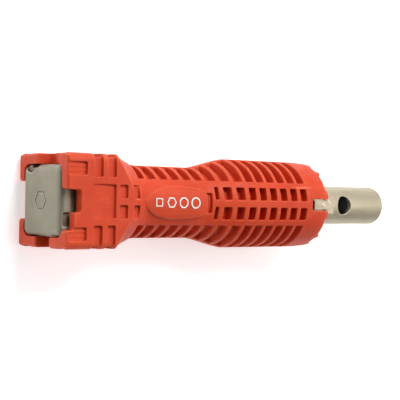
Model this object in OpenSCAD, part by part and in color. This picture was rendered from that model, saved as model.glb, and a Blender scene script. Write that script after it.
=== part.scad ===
// Faucet and sink installation wrench: a hollow moulded body with a square head,
// a pull-out cube insert in the head and a pull-out tube insert in the round end.
// +X runs from the head's mouth to the free end of the tube, +Z is the label side,
// and the origin is on the resting surface under the middle of the tool.

/* [Overall] */
// Length from the closed face of the cube to the free end of the tube
tool_length = 282; // [277:1:287]
// Length of the moulded body, from its mouth to the ends of its two lugs
body_length = 219.4; // [219:0.1:220]
// Diameter of the handle's bulge
bulge_width = 58.6; // [58:0.1:59]

/* [Head] */
// Width of the square head
head_width = 56; // [55.8:0.1:56.4]
// Corner radius of the square head
head_corner = 4.5; // [3:0.5:6]
// Width of the square mouth
mouth_width = 43.2; // [43:0.1:43.4]
// Depth of the square mouth
mouth_depth = 43; // [42.5:0.5:44]
// Half width of the deep slots in the mouth's rim
slot_half = 6.7; // [6:0.1:7]
// Depth of the deep slots in the mouth's rim
slot_depth = 9.8; // [9:0.1:10]
// Depth of the shallow steps beside them
step_depth = 5.3; // [5:0.1:6]
// Depth of the grooves that wrap round the head's corners
groove_depth = 2.2; // [1.5:0.1:2.5]
// Greatest depth of the sunk pad in the middle of each face
pad_depth = 1.9; // [1:0.1:2]

/* [Handle] */
// Outer radius of the neck
neck_r = 22.7; // [22:0.1:23]
// Radius of the passage through the neck and the handle
passage_r = 14.8; // [14:0.1:15]
// Distance from one rib to the next
rib_pitch = 9.11; // [9:0.01:9.2]
// Length of a pocket between two ribs
pocket_length = 6.6; // [6:0.1:7.2]
// Length of a pocket in the two middle rows
middle_length = 5.8; // [5:0.1:6.6]
// Depth of the pockets along the bulge
pocket_depth = 6; // [5:0.5:8]
// Number of rib pockets along the handle
pocket_count = 15; // [15:1:15]

/* [Cube insert] */
// Width of the cube
cube_width = 42.4; // [42.2:0.1:42.6]
// Radius of the cube's corners and of the edges of its closed face
cube_corner = 4.8; // [4:0.1:6]
// Distance that the cube's closed face stands out of the mouth
cube_proud = 1.2; // [0:0.1:1.5]
// Length of the cube along the tool
cube_length = 42.4; // [42:0.1:42.5]
// Width across the flats of the hexagon socket inside the cube
hex_width = 28.6; // [28:0.2:29]

/* [Tube insert] */
// Outer radius of the tube
tube_r = 13.5; // [13.4:0.1:13.5]
// Radius of the hole through the tube
tube_bore_r = 10.5; // [10:0.1:10.8]
// Length of the tube
tube_length = 103; // [99:1:107]
// Radius of the cross hole
cross_r = 6.5; // [6:0.1:6.8]

/* [Hidden] */
$fn = 72;
eps = 0.01;

nylon = [0.87, 0.30, 0.19];
casting = [0.56, 0.54, 0.46];
champagne = [0.76, 0.71, 0.59];
steel = [0.72, 0.73, 0.75];
brass = [0.78, 0.64, 0.34];
white = [0.95, 0.95, 0.93];
black = [0.08, 0.08, 0.08];

// The tool's axis, and the handle's largest radius
axis_z = bulge_width / 2;
bulge_r = bulge_width / 2;
head_half = head_width / 2;

// Stations along the axis, measured from the mouth's rim
shoulder_end = 64;
flare_start = 107;
flare_end = 136;
end_face = 208.6;
tube_end = tool_length - cube_proud;
end_curve = [[196, bulge_r], [202, bulge_r - 0.2], [206, bulge_r - 0.6], [end_face - 1.4, bulge_r - 0.9],
    [end_face - 0.4, bulge_r - 1.5], [end_face, bulge_r - 2.6], [end_face, 0]];
lug_r = 24.2;
lug_root_r = bulge_r - 0.6;
lug_angle = 45;
tooth_half = 9.6;
tooth_length = 2.2;

// The shoulder between the square head and the neck, as [station, radius]
shoulder = [[34.5, 41], [35.5, 37.4], [37.5, 35.4], [41, 32.4], [45, 29.5], [50, 27], [55, 25], [60, 23.1],
    [shoulder_end, neck_r]];

// Pockets: rows as [nearest, farthest] distance from the middle plane
inner_row = [2.3, 10.4];
outer_row = [14, 31];
parting_half = 3;
last_pocket_end = 188.3;
inner_columns = 8;
neck_pocket_depth = 4.5;

// Slots of the round end, which take the tails of the drive keys
key_slot_half = 3.9;
key_slot_start = 193.3;

// Bore that holds the tube
socket_clear = 0.08;
socket_start = 172;
passage_start = mouth_depth - eps;

// Label panel on the neck
panel_height = 1.5;
panel_middle = 82;
panel_half = 10.2;
panel_front = 24;
panel_back = 36;
panel_rounding = 2.4;
panel_end = 106;
mark_height = 0.3;
mark_size = 3.6;
mark_pitch = 9.4;
mark_line = 0.85;
well_depth = 2.6;
well_half = 6.4;

// Detents in the cube's front and back walls
ball_r = 2;
ball_station = 16;
ball_proud = 0.6;
ball_height = cube_width / 2 + ball_proud - ball_r;
ball_clear = 0.05;
spring_r = 1.35;
spring_wire_r = 0.22;
spring_turns = 3;
plug_length = 1.2;
hex_depth = 24;
cube_floor = 7;
grip_groove = [7.8, 12.8];
grip_groove_depth = 1.8;
grip_lug_start = 3;
round_socket_r = 16.6;
spring_low = hex_width / 2 + plug_length + spring_wire_r;
spring_high = ball_height - ball_r - spring_wire_r;

// Drive keys on the tube
tube_start = tube_end - tube_length;
cross_station = 240;
tail_start = 208.4;
tail_half = 3.1;
tail_end = 223.8;
pad_start = body_length + 0.6;
pad_length = 7.6;
pad_half = 8.2;
pad_top = 14.7;
key_top = 15.5;
key_round_r = 15.8;
rivet_station = 217.2;
rivet_r = 1.2;
rivet_head_r = 1.7;
rivet_head = 0.35;

// Rubber ring of the tube
ring_station = 191;
ring_wire_r = 0.85;
ring_r = 12.7;
ring_groove_r = 11.84;
ring_groove_half = 1;
notch_half = 6;
notch_depth = 9;

// Smooth step from 0 to 1
function ease(t) = t * t * (3 - 2 * t);

// Share of the flare from the neck to the bulge, nearly straight with soft ends
function flare(t) = 0.72 * t + 0.28 * ease(t);

// Outline of the neck and the flare, from one radius to another
function handle_outline(first_r, last_r) = concat(
    [[shoulder_end - 24, 0], [shoulder_end - 24, first_r], [flare_start, first_r]],
    [for (i = [1:8]) [flare_start + (flare_end - flare_start) * i / 8, first_r + (last_r - first_r) * flare(i / 8)]]
);

// Half width of the label panel at a distance from its widest station, less at its rounded far corners
function panel_width(d) =
    panel_half * sqrt(1 - pow(d / (d < 0 ? panel_front : panel_back), 2))
    - pow(max(0, d + panel_middle + panel_rounding - panel_end), 2) / panel_rounding;

// Puts a shape drawn along +Z, with its front towards +X, into the tool's frame
module lay_down() {
    translate([cube_proud - tool_length / 2, 0, axis_z])
        rotate([0, 90, 0])
            rotate([0, 0, 180])
                children();
}

// A shape and its copy turned half round the tool's axis
module front_and_back() {
    children();
    rotate([0, 0, 180])
        children();
}

// Spins an outline of [station, radius] points about the tool's axis
module spin(points) {
    rotate_extrude()
        polygon([for (p = points) [p[1], p[0]]]);
}

module rounded_square(width, corner) {
    inner = width - 2 * corner;
    square([width, inner], center = true);
    square([inner, width], center = true);
    for (sx = [-1, 1], sy = [-1, 1])
        translate([sx * inner / 2, sy * inner / 2])
            circle(corner);
}

// A block given by its lowest and highest corner
module block(low, high) {
    translate(low)
        cube(high - low);
}

// The square head with its shoulder
module head_block() {
    intersection() {
        linear_extrude(shoulder_end)
            rounded_square(head_width, head_corner);
        spin(concat([[0, 0], [0, 50], [shoulder[0][0], 50]], shoulder, [[shoulder_end, 0]]));
    }
}

// The neck, the bulge and the round end with its two lugs
module handle_block() {
    spin(concat(handle_outline(neck_r, bulge_r), end_curve));
    front_and_back() {
        end_lug();
        end_tooth();
    }
}

// A lug on one side of the round end, on a root as wide as the handle
module end_lug() {
    half = 32 * sin(lug_angle / 2);
    reach = 32 * cos(lug_angle / 2);
    intersection() {
        spin([[end_face - 9, 0], [end_face - 9, bulge_r - 1], [end_face - 6, lug_root_r], [end_face, lug_root_r],
            [end_face + 0.3, lug_root_r - 0.4], [end_face + 0.3, lug_r], [body_length - 0.8, lug_r],
            [body_length, lug_r - 0.9], [body_length, 0]]);
        translate([0, 0, end_face - 10])
            linear_extrude(body_length)
                rotate([0, 0, 90])
                    polygon([[0, 0], [reach, -half], [reach + 6, 0], [reach, half]]);
    }
}

// The low tooth that the key slot divides
module end_tooth() {
    intersection() {
        spin([[end_face - 3, 0], [end_face - 3, bulge_r - 1.2], [end_face + tooth_length, bulge_r - 2.4],
            [end_face + tooth_length, 0]]);
        block([10, -tooth_half, end_face - 3], [31, tooth_half, end_face + tooth_length]);
    }
}

// The raised panel on the neck that carries the mark
module label_panel() {
    steps = 12;
    front = [for (i = [0:steps]) -panel_front * cos(90 * i / steps)];
    back = [for (i = [1:steps]) (panel_end - panel_middle) * i / steps];
    stations = concat(front, back);
    last = len(stations) - 1;
    intersection() {
        rotate([0, 90, 0])
            linear_extrude(40)
                polygon(concat(
                    [for (d = stations) [-panel_middle - d, panel_width(d)]],
                    [for (i = [0:last]) [-panel_middle - stations[last - i], -panel_width(stations[last - i])]]
                ));
        translate([0, 0, panel_middle - panel_front - 1])
            cylinder(r = neck_r + panel_height, h = panel_front + panel_end);
    }
}

// The square mouth, its rim slots and the passage to the round end
module hollow() {
    translate([0, 0, -1])
        linear_extrude(mouth_depth + 1)
            rounded_square(mouth_width, cube_corner + 0.3);
    spin([[passage_start, 0], [passage_start, passage_r], [socket_start - 4, passage_r],
        [socket_start, tube_r + socket_clear], [body_length + 1, tube_r + socket_clear], [body_length + 1, 0]]);
}

// Outline of a slot in the rim, with a round at each corner, from one side to the other
module slot_outline(left, right, depth, corner) {
    difference() {
        union() {
            translate([left, -1])
                square([right - left, depth + 1 - corner]);
            translate([left + corner, 0])
                square([right - left - 2 * corner, depth]);
            for (y = [left + corner, right - corner])
                translate([y, depth - corner])
                    circle(corner);
            translate([left - corner, -1])
                square([right - left + 2 * corner, corner + 1]);
        }
        for (y = [left - corner, right + corner])
            translate([y, corner])
                circle(corner);
    }
}

// A slot through the wall on the +X side, measured across from its middle
module rim_slot(left, right, depth, corner) {
    translate([mouth_width / 2 - 3, 0, 0])
        rotate([90, 0, 90])
            linear_extrude(12)
                slot_outline(left, right, depth, corner);
}

// Slots through the mouth's rim: a deep one in each wall, with a shallow step beside two of them
module rim_slots() {
    rim_slot(-slot_half, slot_half, slot_depth, 2);
    rim_slot(0, 17, step_depth, 1.6);
    rotate([0, 0, 180])
        rim_slot(-11.3, 11.3, slot_depth, 2.2);
    rotate([0, 0, -90]) {
        rim_slot(-slot_half, slot_half, slot_depth, 2);
        rim_slot(0, 17, step_depth, 1.6);
    }
    rotate([0, 0, 90])
        rim_slot(-7.5, 7.5, slot_depth, 2);
}

// Recessed pads and grooves on the head's four faces
module head_pads() {
    for (a = [0:90:270])
        rotate([0, 0, a]) {
            for (side = [0, 1])
                mirror([0, side, 0]) {
                    corner_ramps();
                    for (s = [18.5, 27.8])
                        block([head_half - groove_depth, 14.2, s], [head_half + 2, 31, s + 5.8]);
                    block([head_half - 1.9, 2, 36.3], [head_half + 1, 10, 42.1]);
                    block([head_half - 4.2, 2, 46.6], [head_half + 1, 10, 52.6]);
                }
            ramp(-10, 10, 17.6, 33.6, 0.5, pad_depth);
        }
}

// Sunk ramp beside the corner of the head, with two low ridges in its floor
module corner_ramps() {
    ramp(15.2, 22.8, -1, 13.4, 0.5, 1.6);
    for (y = [15.2, 17.9, 20.6])
        ramp(y, y + 2.2, -1, 13.4, 0.7, 1.85);
}

// A cut that gets deeper towards the handle, given by its sides, its ends and its two depths
module ramp(left, right, start, stop, first_depth, last_depth) {
    translate([0, right, 0])
        rotate([90, 0, 0])
            linear_extrude(right - left)
                polygon([[head_half - first_depth, start], [head_half - last_depth, stop],
                    [head_half + 2, stop], [head_half + 2, start]]);
}

// Bevel along the outer edges of the mouth's rim
module rim_bevel() {
    for (a = [0:90:270])
        rotate([0, 0, a])
            translate([0, 31, 0])
                rotate([90, 0, 0])
                    linear_extrude(62)
                        polygon([[head_half - 2.3, -1], [head_half + 1, 2.9], [head_half + 1, -1]]);
}

// Blocks that the pockets between the ribs are cut with
module pocket_blocks() {
    for (i = [0:pocket_count - 1]) {
        stop = last_pocket_end - i * rib_pitch;
        for (sx = [0, 1], sy = [0, 1])
            mirror([sx, 0, 0])
                mirror([0, sy, 0]) {
                    block([parting_half, outer_row[0], stop - pocket_length], [31, outer_row[1], stop]);
                    if (i < inner_columns)
                        block([10, inner_row[0], stop - middle_length], [31, inner_row[1], stop]);
                    if (i == inner_columns)
                        block([10, inner_row[0], stop - 2.6], [31, inner_row[1], stop]);
                }
    }
}

// The well behind the end of each label panel
module panel_wells() {
    front_and_back()
        intersection() {
            block([10, -well_half, panel_end], [31, well_half, panel_end + 4.6]);
            difference() {
                cylinder(r = 40, h = body_length);
                spin([[panel_end - 1, 0], [panel_end - 1, neck_r - well_depth],
                    [panel_end + 6, neck_r - well_depth + 1.4], [panel_end + 6, 0]]);
            }
        }
}

module rib_pockets() {
    difference() {
        pocket_blocks();
        spin(concat(handle_outline(neck_r - neck_pocket_depth, bulge_r - pocket_depth),
            [[last_pocket_end + 1, bulge_r - pocket_depth], [last_pocket_end + 1, 0]]));
    }
}

module key_slots() {
    front_and_back()
        block([10, -key_slot_half, key_slot_start], [31, key_slot_half, body_length + 1]);
}

// Dimples for the detent balls, with a lead-in from the mouth
module detent_tracks() {
    front_and_back() {
        translate([ball_height, 0, ball_station])
            sphere(ball_r + 0.3);
        translate([ball_height, 0, -1])
            cylinder(r = ball_r + 0.1, h = ball_station + 1);
    }
}

module tool_body() {
    color(nylon)
        lay_down()
            difference() {
                union() {
                    head_block();
                    handle_block();
                    front_and_back()
                        label_panel();
                }
                hollow();
                rim_slots();
                head_pads();
                rim_bevel();
                rib_pockets();
                panel_wells();
                key_slots();
                detent_tracks();
            }
}

// Outlines of four socket shapes, as generic pictograms
module socket_icon(kind) {
    sides = [4, 6, 8, 48][kind];
    turn = [45, 0, 22.5, 0][kind];
    rotate([0, 0, turn])
        difference() {
            circle(mark_size, $fn = sides);
            circle(mark_size - mark_line, $fn = sides);
        }
}

module mark() {
    r = neck_r + panel_height;
    side = mark_pitch * 1.5 + mark_size + 1;
    intersection() {
        rotate([0, 90, 0])
            linear_extrude(40)
                for (i = [0:3])
                    translate([-panel_middle - (i - 1.5) * mark_pitch, 0])
                        socket_icon(i);
        translate([0, 0, panel_middle - side])
            difference() {
                cylinder(r = r + mark_height, h = 2 * side);
                translate([0, 0, -1])
                    cylinder(r = r, h = 2 * side + 2);
            }
    }
}

module front_mark() {
    color(white)
        lay_down()
            mark();
}

module back_mark() {
    color(white)
        lay_down()
            rotate([0, 0, 180])
                mark();
}

// Outer form of the cube: round corners, and a round edge at its closed face
module cube_form() {
    reach = cube_width / 2 - cube_corner;
    translate([0, 0, cube_corner])
        linear_extrude(cube_length - cube_corner)
            rounded_square(cube_width, cube_corner);
    block([-reach, -reach, 0], [reach, reach, cube_corner + 1]);
    for (a = [0:90:270])
        rotate([0, 0, a]) {
            translate([reach, -reach, cube_corner])
                rotate([-90, 0, 0])
                    cylinder(r = cube_corner, h = 2 * reach);
            translate([reach, reach, cube_corner])
                sphere(cube_corner);
        }
}

// Groove across each side of the cube, which leaves a lug in the middle of the side's front edge
module grip_grooves() {
    edge = cube_width / 2 - grip_groove_depth;
    for (a = [0:90:270])
        rotate([0, 0, a]) {
            block([edge, -15, grip_groove[0]], [edge + 5, 15, grip_groove[1]]);
            for (side = [0, 1])
                mirror([0, side, 0])
                    block([edge, 6.8, grip_lug_start], [edge + 5, 15, grip_groove[1]]);
        }
}

// Hexagon outline sunk in the closed face, as a generic mark
module face_mark() {
    translate([0, 0, -1])
        linear_extrude(1.8)
            difference() {
                circle(6.4, $fn = 6);
                circle(5.2, $fn = 6);
            }
}

// Round bite out of one edge of the closed face, for a fingertip
module finger_notch() {
    translate([-12, -cube_width / 2 - 3.2, -1])
        cylinder(r = 8, h = 4);
}

// Hexagon and round sockets inside the cube, open towards the handle
module cube_sockets() {
    translate([0, 0, cube_floor])
        rotate([0, 0, 30])
            cylinder(r = hex_width / 2 / cos(30), h = cube_length, $fn = 6);
    translate([0, 0, cube_floor + hex_depth])
        cylinder(r = round_socket_r, h = cube_length);
}

// Four slots for tab nuts across the cube's open end
module cube_tab_slots() {
    for (a = [0, 90])
        rotate([0, 0, a])
            block([-cube_width, -4, cube_length - 8], [cube_width, 4, cube_length + 1]);
}

// Bore for a ball, its spring and its plug
module detent_bore() {
    translate([0, 0, ball_station])
        rotate([0, 90, 0])
            cylinder(r = ball_r + ball_clear, h = cube_width);
}

module cube_insert() {
    color(casting)
        lay_down()
            difference() {
                translate([0, 0, -cube_proud])
                    difference() {
                        cube_form();
                        cube_sockets();
                        cube_tab_slots();
                        grip_grooves();
                        face_mark();
                        finger_notch();
                    }
                front_and_back()
                    detent_bore();
            }
}

module detent_ball() {
    translate([ball_height, 0, ball_station])
        sphere(ball_r);
}

module detent_ball_front() {
    color(steel)
        lay_down()
            detent_ball();
}

module detent_ball_back() {
    color(steel)
        lay_down()
            rotate([0, 0, 180])
                detent_ball();
}

// One ring of points round the spring's wire
function wire_ring(t, sides) =
    let (
        a = 360 * spring_turns * t,
        h = spring_low + (spring_high - spring_low) * t
    )
    [for (k = [0:sides - 1])
        let (
            b = 360 * k / sides,
            r = spring_r + spring_wire_r * cos(b)
        )
        [r * cos(a), r * sin(a), h + spring_wire_r * sin(b)]];

module detent_spring() {
    sides = 6;
    rings = 36;
    points = [for (i = [0:rings]) each wire_ring(i / rings, sides)];
    walls = [for (i = [0:rings - 1], k = [0:sides - 1])
        [i * sides + k, i * sides + (k + 1) % sides, (i + 1) * sides + (k + 1) % sides, (i + 1) * sides + k]];
    first = [for (k = [0:sides - 1]) sides - 1 - k];
    last = [for (k = [0:sides - 1]) rings * sides + k];
    translate([0, 0, ball_station])
        rotate([0, 90, 0])
            polyhedron(points, concat(walls, [first, last]));
}

module detent_spring_front() {
    color(steel)
        lay_down()
            detent_spring();
}

module detent_spring_back() {
    color(steel)
        lay_down()
            rotate([0, 0, 180])
                detent_spring();
}

module detent_plugs() {
    color(brass)
        lay_down()
            front_and_back()
                translate([hex_width / 2, 0, ball_station])
                    rotate([0, 90, 0])
                        difference() {
                            cylinder(r = ball_r + ball_clear, h = plug_length);
                            translate([0, 0, -1])
                                cylinder(r = 0.9, h = 1.6, $fn = 6);
                        }
}

module tube_insert() {
    color(champagne)
        lay_down()
            difference() {
                spin([
                    [tube_start, tube_bore_r], [tube_start, tube_r - 1], [tube_start + 1, tube_r],
                    [tube_end - 1.8, tube_r], [tube_end - 0.8, tube_r - 0.4],
                    [tube_end - 0.2, tube_r - 1], [tube_end, tube_r - 1.8], [tube_end, tube_bore_r]
                ]);
                translate([0, 0, cross_station])
                    rotate([0, 90, 0])
                        cylinder(r = cross_r, h = 4 * tube_r, center = true);
                front_and_back()
                    translate([0, 0, rivet_station])
                        rotate([0, 90, 0])
                            cylinder(r = rivet_r, h = 2 * tube_r);
                translate([0, 0, ring_station - ring_groove_half])
                    difference() {
                        cylinder(r = tube_r + 1, h = 2 * ring_groove_half);
                        translate([0, 0, -1])
                            cylinder(r = ring_groove_r, h = 2 * ring_groove_half + 2);
                    }
                block([-2 * tube_r, -notch_half, tube_start - 1], [2 * tube_r, notch_half, tube_start + notch_depth]);
            }
}

// T-shaped key with a tail that lies in the body's slot
module drive_key() {
    difference() {
        intersection() {
            union() {
                block([8, -tail_half, tail_start], [key_top, tail_half, tail_end - tail_half]);
                translate([8, 0, tail_end - tail_half])
                    rotate([0, 90, 0])
                        cylinder(r = tail_half, h = key_top - 8);
                block([8, -pad_half, pad_start], [pad_top, pad_half, pad_start + pad_length]);
            }
            translate([0, 0, tail_start - 1])
                cylinder(r = key_round_r, h = 40);
        }
        translate([0, 0, tail_start - 2])
            cylinder(r = tube_r, h = 42);
        translate([0, 0, rivet_station])
            rotate([0, 90, 0])
                cylinder(r = rivet_r, h = 2 * tube_r);
    }
}

module drive_key_front() {
    color(champagne)
        lay_down()
            drive_key();
}

module drive_key_back() {
    color(champagne)
        lay_down()
            rotate([0, 0, 180])
                drive_key();
}

module key_rivets() {
    color(champagne)
        lay_down()
            front_and_back()
                translate([0, 0, rivet_station])
                    rotate([0, 90, 0]) {
                        translate([0, 0, tube_bore_r + 0.2])
                            cylinder(r = rivet_r, h = key_top - tube_bore_r);
                        translate([0, 0, key_top])
                            cylinder(r1 = rivet_head_r, r2 = rivet_r, h = rivet_head);
                    }
}

module tube_ring() {
    color(black)
        lay_down()
            translate([0, 0, ring_station])
                rotate_extrude()
                    translate([ring_r, 0])
                        circle(ring_wire_r, $fn = 32);
}

tool_body();
front_mark();
back_mark();
cube_insert();
detent_ball_front();
detent_ball_back();
detent_spring_front();
detent_spring_back();
detent_plugs();
tube_insert();
drive_key_front();
drive_key_back();
key_rivets();
tube_ring();
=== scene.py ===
import math

import bpy
from mathutils import Matrix, Vector


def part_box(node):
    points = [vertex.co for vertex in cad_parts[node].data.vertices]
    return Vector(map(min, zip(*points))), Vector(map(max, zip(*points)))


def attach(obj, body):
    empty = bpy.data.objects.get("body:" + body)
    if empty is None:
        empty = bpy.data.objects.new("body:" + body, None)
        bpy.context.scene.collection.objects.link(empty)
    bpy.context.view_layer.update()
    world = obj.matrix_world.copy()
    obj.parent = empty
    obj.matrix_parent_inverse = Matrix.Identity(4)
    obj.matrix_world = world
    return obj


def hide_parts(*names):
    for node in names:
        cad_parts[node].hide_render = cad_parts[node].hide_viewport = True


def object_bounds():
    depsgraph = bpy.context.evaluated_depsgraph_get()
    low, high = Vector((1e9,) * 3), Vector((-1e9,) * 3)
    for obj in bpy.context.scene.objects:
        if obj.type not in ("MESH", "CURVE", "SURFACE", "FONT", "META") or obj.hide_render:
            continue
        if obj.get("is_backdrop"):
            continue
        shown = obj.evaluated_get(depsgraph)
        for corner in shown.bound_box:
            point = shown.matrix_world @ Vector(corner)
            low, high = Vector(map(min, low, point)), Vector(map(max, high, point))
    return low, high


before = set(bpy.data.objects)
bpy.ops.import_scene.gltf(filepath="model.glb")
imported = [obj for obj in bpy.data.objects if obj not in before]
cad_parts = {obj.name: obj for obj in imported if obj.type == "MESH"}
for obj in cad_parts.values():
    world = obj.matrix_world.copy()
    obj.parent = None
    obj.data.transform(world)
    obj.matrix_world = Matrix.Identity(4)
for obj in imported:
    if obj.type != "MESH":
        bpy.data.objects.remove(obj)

MM = 0.001

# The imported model: its box, the tool's axis, the head's mouth and the tube's radius
CAD_LOW, CAD_HIGH = (Vector(corner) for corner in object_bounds())
BODY_LOW, BODY_HIGH = (Vector(corner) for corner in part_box("tool_body"))
TUBE_LOW, TUBE_HIGH = (Vector(corner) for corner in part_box("tube_insert"))
AXIS_Z = (BODY_LOW.z + BODY_HIGH.z) / 2
MOUTH_X = BODY_LOW.x
TUBE_R = (TUBE_HIGH.y - TUBE_LOW.y) / 2


# ---------------------------------------------------------------- node trees

class Tree:
    """A node tree, with short ways to add the nodes that the materials and the studio are made of."""

    def __init__(self, tree):
        self.tree = tree

    def node(self, kind):
        return self.tree.nodes.new("ShaderNode" + kind)

    def give(self, socket, value):
        """Links another socket to this one, or gives it a plain value or colour."""
        if isinstance(value, bpy.types.NodeSocket):
            self.tree.links.new(value, socket)
        elif socket.type == "RGBA":
            socket.default_value = (*value, 1.0)
        else:
            socket.default_value = value

    def spread(self, value, low, high, into_low=0.0, into_high=1.0):
        """Maps value from low..high to into_low..into_high, clamped."""
        node = self.node("MapRange")
        self.give(node.inputs["Value"], value)
        self.give(node.inputs["From Min"], low)
        self.give(node.inputs["From Max"], high)
        self.give(node.inputs["To Min"], into_low)
        self.give(node.inputs["To Max"], into_high)
        return node.outputs["Result"]

    def product(self, first, second):
        node = self.node("Math")
        node.operation = "MULTIPLY"
        self.give(node.inputs[0], first)
        self.give(node.inputs[1], second)
        return node.outputs["Value"]

    def mix(self, factor, first, second):
        """A colour from first to second, each of them a colour or a socket."""
        node = self.node("Mix")
        node.data_type = "RGBA"
        self.give(node.inputs["Factor"], factor)
        for name, colour in (("A", first), ("B", second)):
            self.give(next(s for s in node.inputs if s.name == name and s.type == "RGBA"), colour)
        return next(s for s in node.outputs if s.type == "RGBA")

    def noise(self, scale, detail, stretch=None):
        """A noise in object space: scale in features per metre, which stretch multiplies on each axis."""
        place = self.node("TexCoord").outputs["Object"]
        if stretch:
            mapping = self.node("Mapping")
            self.give(mapping.inputs["Vector"], place)
            self.give(mapping.inputs["Scale"], stretch)
            place = mapping.outputs["Vector"]
        texture = self.node("TexNoise")
        self.give(texture.inputs["Vector"], place)
        self.give(texture.inputs["Scale"], scale)
        self.give(texture.inputs["Detail"], detail)
        return texture.outputs["Fac"]

    def patches(self, scale, detail, into_low=0.0, into_high=1.0, stretch=None):
        """A noise spread over into_low..into_high. Its own values lie mostly in 0.3..0.7."""
        return self.spread(self.noise(scale, detail, stretch), 0.3, 0.7, into_low, into_high)

    def outer_edges(self):
        """1 on outer edges and 0 on flats and in hollows."""
        sharpness = self.node("NewGeometry").outputs["Pointiness"]
        return self.spread(sharpness, 0.505, 0.56)

    def hollows(self, most):
        """Up to most in inner corners and 0 elsewhere."""
        sharpness = self.node("NewGeometry").outputs["Pointiness"]
        return self.spread(sharpness, 0.49, 0.43, 0.0, most)

    def towards(self, direction, low, high, into_low, into_high):
        """A value that depends on how near the sky's direction is to a fixed one."""
        nearness = self.node("VectorMath")
        nearness.operation = "DOT_PRODUCT"
        self.give(nearness.inputs[0], self.node("TexCoord").outputs["Generated"])
        self.give(nearness.inputs[1], Vector(direction).normalized())
        return self.spread(nearness.outputs["Value"], low, high, into_low, into_high)


class Finish(Tree):
    """A material around one Principled shader."""

    def __init__(self, name):
        self.material = bpy.data.materials.new(name)
        self.material.use_nodes = True
        super().__init__(self.material.node_tree)
        self.tree.nodes.clear()
        self.shader = self.node("BsdfPrincipled")
        self.give(self.node("OutputMaterial").inputs["Surface"], self.shader.outputs["BSDF"])

    def put(self, name, value):
        self.give(self.shader.inputs[name], value)

    def bumps(self, *layers):
        """Stacks bump layers, each (height, depth in metres, strength), onto the shader."""
        normal = None
        for height, depth, strength in layers:
            bump = self.node("Bump")
            self.give(bump.inputs["Height"], height)
            self.give(bump.inputs["Distance"], depth)
            self.give(bump.inputs["Strength"], strength)
            if normal:
                self.give(bump.inputs["Normal"], normal)
            normal = bump.outputs["Normal"]
        self.put("Normal", normal)


# ---------------------------------------------------------------- materials

def nylon():
    """Orange-red glass-filled nylon with a fine spark-eroded grain, paler rubbed edges and painted shade
    in inner corners.
    """
    finish = Finish("nylon")
    base = finish.mix(finish.patches(55, 2), (0.54, 0.040, 0.0062), (0.61, 0.050, 0.0092))
    fibres = finish.spread(finish.noise(420, 4, (0.35, 1, 1)), 0.56, 0.74, 0.0, 0.16)
    flecked = finish.mix(fibres, base, (0.72, 0.15, 0.06))
    rubbed = finish.mix(finish.outer_edges(), flecked, (0.76, 0.125, 0.045))
    # Painted shade: inner corners darken towards a deep red, where shade falls
    finish.put("Base Color", finish.mix(finish.hollows(0.55), rubbed, (0.30, 0.017, 0.004)))
    finish.put("Roughness", finish.patches(160, 4, 0.5, 0.64))
    finish.put("Specular IOR Level", 0.3)
    grain = finish.noise(2600, 2)
    flow = finish.noise(130, 3, (0.5, 1, 1))
    finish.bumps((grain, 0.12 * MM, 0.5), (flow, 0.4 * MM, 0.2))
    return finish.material


def metal(name, dark, light, rough, grain, edge=None, stretch=None, metallic=0.82):
    """A cast, turned or drawn metal: tone patches, grain, painted shade in hollows, rubbed edges, uneven
    gloss.
    """
    finish = Finish(name)
    tone = finish.mix(finish.patches(70, 4), dark, light)
    if edge:
        tone = finish.mix(finish.outer_edges(), tone, edge)
    # Painted shade: hollows darken to a third of the dark tone
    hollow_shade = tuple(channel * 0.3 for channel in dark)
    finish.put("Base Color", finish.mix(finish.hollows(0.75), tone, hollow_shade))
    finish.put("Metallic", metallic)
    finish.put("Roughness", finish.patches(grain / 6, 4, rough - 0.07, rough + 0.09, stretch))
    pits = finish.noise(grain, 3, stretch)
    waves = finish.noise(240, 2)
    finish.bumps((pits, 0.08 * MM, 0.35), (waves, 0.3 * MM, 0.12))
    return finish.material


def plain(name, colour, rough):
    """Print, rubber and the like: one colour with small variation, grain and uneven gloss."""
    finish = Finish(name)
    darker = tuple(channel * 0.86 for channel in colour)
    finish.put("Base Color", finish.mix(finish.patches(300, 3), darker, colour))
    finish.put("Roughness", finish.patches(500, 2, rough - 0.08, rough + 0.08))
    finish.bumps((finish.noise(900, 2), 0.06 * MM, 0.3))
    return finish.material


NYLON = nylon()
# The cube's casting: partly its own darker tone, partly painted shade that darkens it well below the
# tube's metal
CASTING = metal("casting", dark=(0.235, 0.215, 0.16), light=(0.285, 0.262, 0.2), edge=(0.56, 0.52, 0.42),
                rough=0.46, grain=2200, metallic=0.6)
CHAMPAGNE = metal("champagne", dark=(0.43, 0.375, 0.27), light=(0.505, 0.44, 0.325),
                  edge=(0.70, 0.63, 0.50), rough=0.5, grain=1500, stretch=(0.12, 1, 1))
KEY_METAL = metal("key_metal", dark=(0.44, 0.38, 0.27), light=(0.52, 0.45, 0.33), edge=(0.74, 0.67, 0.54),
                  rough=0.5, grain=2400)
STEEL = metal("steel", dark=(0.55, 0.56, 0.58), light=(0.68, 0.69, 0.70), rough=0.2, grain=3000)
BRASS = metal("brass", dark=(0.62, 0.42, 0.14), light=(0.74, 0.54, 0.22), rough=0.3, grain=2500)
PRINT = plain("print", (0.86, 0.86, 0.83), rough=0.5)
RUBBER = plain("rubber", (0.02, 0.02, 0.02), rough=0.6)
# Painted shade: a near-black material for the inside of the tube
BORE_SHADE = plain("bore_shade", (0.022, 0.02, 0.014), rough=0.75)


# ---------------------------------------------------------------- pieces

def add_to_scene(name, data):
    thing = bpy.data.objects.new(name, data)
    bpy.context.scene.collection.objects.link(thing)
    return thing


def baked(piece):
    """The piece's mesh with its modifiers applied, in place of the mesh it had."""
    depsgraph = bpy.context.evaluated_depsgraph_get()
    mesh = bpy.data.meshes.new_from_object(piece.evaluated_get(depsgraph))
    piece.modifiers.clear()
    piece.data = mesh
    return mesh


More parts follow.
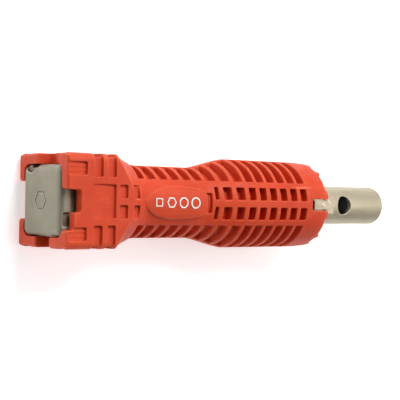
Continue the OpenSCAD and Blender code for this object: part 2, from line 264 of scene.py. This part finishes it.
def softened(node, body, material, voxel, passes, triangles):
    """A moulded or cast copy of a CAD node: every edge gets the small radius that a real tool has."""
    piece = add_to_scene(node + "_shape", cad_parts[node].data.copy())
    remesh = piece.modifiers.new("remesh", "REMESH")
    remesh.mode = "VOXEL"
    remesh.voxel_size = voxel
    smooth = piece.modifiers.new("smooth", "SMOOTH")
    smooth.factor = 0.5
    smooth.iterations = passes
    quads = len(baked(piece).polygons)
    thin = piece.modifiers.new("thin", "DECIMATE")
    thin.ratio = min(1.0, triangles / (2 * quads))
    mesh = baked(piece)
    mesh.shade_smooth()
    mesh.materials.clear()
    mesh.materials.append(material)
    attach(piece, body)
    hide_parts(node)
    return mesh


softened("tool_body", "tool", NYLON, voxel=0.4 * MM, passes=4, triangles=190_000)
softened("cube_insert", "cube", CASTING, voxel=0.35 * MM, passes=4, triangles=60_000)
tube = softened("tube_insert", "tube", CHAMPAGNE, voxel=0.35 * MM, passes=3, triangles=70_000)
for key in ("drive_key_front", "drive_key_back"):
    softened(key, "tube", KEY_METAL, voxel=0.2 * MM, passes=5, triangles=16_000)

# Painted shade inside the tube: the faces this deep under its outer surface, apart from the ends, whose
# normals lie along the axis, get a near-black material in place of the shade in the bore
SHADE_DEPTH = 0.9 * MM
END_NORMAL = 0.7
tube.materials.append(BORE_SHADE)
for polygon in tube.polygons:
    from_axis = math.hypot(polygon.center.y, polygon.center.z - AXIS_Z)
    if from_axis < TUBE_R - SHADE_DEPTH and abs(polygon.normal.x) < END_NORMAL:
        polygon.material_index = 1

# CAD nodes whose shape is right as it is get their finish only
for node, material in {
    "front_mark": PRINT,
    "back_mark": PRINT,
    "detent_ball_front": STEEL,
    "detent_ball_back": STEEL,
    "detent_spring_front": STEEL,
    "detent_spring_back": STEEL,
    "detent_plugs": BRASS,
    "key_rivets": KEY_METAL,
    "tube_ring": RUBBER,
}.items():
    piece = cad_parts[node]
    if not piece.material_slots:
        piece.data.materials.append(material)
    for place in piece.material_slots:
        place.material = material


# ---------------------------------------------------------------- stage, light and camera

FLOOR_HALF = 4.0
FLOOR_GLOW = 0.5
STUDIO_LEVEL = 0.5

# Each light's name, place in metres, size in metres and watts. All of them aim at the tool's middle
LIGHTS = [
    ("key", (0.05, 0.75, 1.0), 0.6, 11.9),
    ("fill", (-1.2, 0.25, 0.3), 0.8, 2.0),
    ("top", (0.75, 0.05, 1.0), 0.7, 2.6),
]

# The camera looks along the tool at this angle from straight down, from this far, with this lens
VIEW_ANGLE = math.radians(38.7)
CAMERA_DEPTH = 651.6 * MM
CAMERA_SIDE = -92.7 * MM
CAMERA_RISE = 1.9 * MM
CAMERA_ROLL = math.radians(1.1)
LENS_MM = 99.9


def paper():
    """White paper with a faint mottle, which glows a little so that it stays white under the tool."""
    finish = Finish("paper")
    finish.put("Base Color", finish.mix(finish.patches(9, 3), (0.93, 0.93, 0.93), (0.95, 0.95, 0.95)))
    finish.put("Roughness", 0.9)
    finish.put("Emission Color", (1, 1, 1))
    finish.put("Emission Strength", FLOOR_GLOW)
    return finish.material


def make_floor():
    mesh = bpy.data.meshes.new("floor")
    corners = [(x * FLOOR_HALF, y * FLOOR_HALF, 0) for x, y in ((-1, -1), (1, -1), (1, 1), (-1, 1))]
    mesh.from_pydata(corners, [], [(0, 1, 2, 3)])
    mesh.materials.append(paper())
    floor = add_to_scene("floor", mesh)
    floor.location.z = CAD_LOW.z
    floor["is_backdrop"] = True


def make_studio():
    """White walls, brighter above the handle, with a dark gap over the head's end."""
    world = bpy.data.worlds.new("studio")
    world.use_nodes = True
    sky = Tree(world.node_tree)
    softbox = sky.towards((0.62, 0.05, 0.78), 0.75, 0.98, 1.0, 1.5)
    gap = sky.towards((-0.66, 0.0, 0.75), 0.55, 0.92, 1.0, 0.08)
    side = sky.towards((0, 1, 0.15), -0.8, 0.8, 0.85, 1.2)
    strength = sky.product(sky.product(softbox, gap), side)
    background = world.node_tree.nodes["Background"]
    sky.give(background.inputs["Strength"], sky.product(strength, STUDIO_LEVEL))
    sky.give(background.inputs["Color"], (1, 1, 1))
    bpy.context.scene.world = world


def make_lights():
    """Soft round lights that face the tool's middle."""
    middle = Vector((0, 0, AXIS_Z))
    for name, place, size, watts in LIGHTS:
        data = bpy.data.lights.new(name, "AREA")
        data.shape = "DISK"
        data.size = size
        data.energy = watts
        light = add_to_scene(name, data)
        light.location = place
        light.rotation_euler = (middle - Vector(place)).to_track_quat("-Z", "Y").to_euler()


def make_camera():
    """Stands over the head's end, with the tool's axis across the picture and +Y up in it."""
    right = Vector((math.cos(VIEW_ANGLE), 0, math.sin(VIEW_ANGLE)))
    forward = Vector((math.sin(VIEW_ANGLE), 0, -math.cos(VIEW_ANGLE)))
    up = Vector((0, 1, 0))
    mouth = Vector((MOUTH_X, 0, AXIS_Z))
    data = bpy.data.cameras.new("camera")
    data.lens = LENS_MM
    camera = add_to_scene("camera", data)
    turn = Matrix((right, up, -forward)).transposed().to_4x4()
    roll = Matrix.Rotation(CAMERA_ROLL, 4, "Z")
    place = mouth - right * CAMERA_SIDE - forward * CAMERA_DEPTH + up * CAMERA_RISE
    camera.matrix_world = Matrix.Translation(place) @ turn @ roll
    bpy.context.scene.camera = camera


make_floor()
make_studio()
make_lights()
make_camera()
bpy.context.scene.view_settings.view_transform = "Standard"
